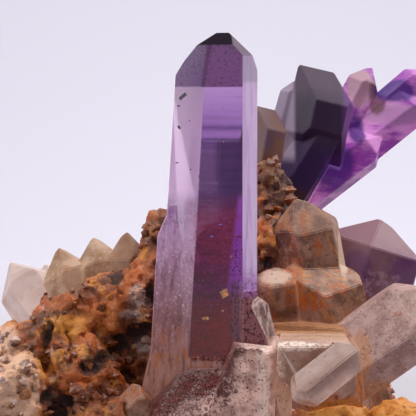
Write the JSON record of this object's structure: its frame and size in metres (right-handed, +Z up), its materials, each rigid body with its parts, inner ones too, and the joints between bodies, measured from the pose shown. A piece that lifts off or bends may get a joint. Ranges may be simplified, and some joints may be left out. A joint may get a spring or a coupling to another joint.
{
  "type": "amethyst cluster",
  "caption": "Amethyst cluster: a tall clear purple quartz point among smaller milky, stained and smoky quartz crystals on iron-stained quartz rock, with a flat sawn underside to rest on.",
  "frame": {"origin": "middle of the specimen's footprint, on the surface that it rests on", "axes": "+Z up along the tall crystal, -Y towards the viewer of the tall crystal's broad face, +X to the viewer's right"},
  "size_m": [0.0726, 0.0502, 0.0694],
  "materials": {
    "amethyst": "clear to frosted purple quartz with growth lines, dark flecks and red dust inside",
    "dark_amethyst": "very dark violet quartz, glossy",
    "smoky_quartz": "brown-violet quartz, glossy",
    "lilac_quartz": "cloudy lilac quartz with beige faces",
    "clear_quartz": "clear to cloudy quartz, glossy, chipped ends",
    "milky_quartz": "cloudy grey-pink quartz with dark specks and satin faces",
    "stained_quartz": "cloudy quartz with orange and brown iron stain",
    "iron_stained_rock": "rough granular quartz, orange, brown and beige, with black pits"
  },
  "bodies": {
    "root": {"tall_amethyst": "amethyst", "milky_foot_crystal": "milky_quartz", "clear_double_crystal": "clear_quartz", "stub_crystal": "stained_quartz", "blocky_crystal": "milky_quartz", "right_prism": "milky_quartz", "stained_crystals": "stained_quartz", "smoky_crystal": "smoky_quartz", "dark_sceptre": "dark_amethyst", "rear_amethyst_spray": "amethyst", "lilac_crystal": "lilac_quartz", "beige_crystals": "milky_quartz", "pale_crystals": "milky_quartz", "rock": "iron_stained_rock"}
  },
  "joints": []
}
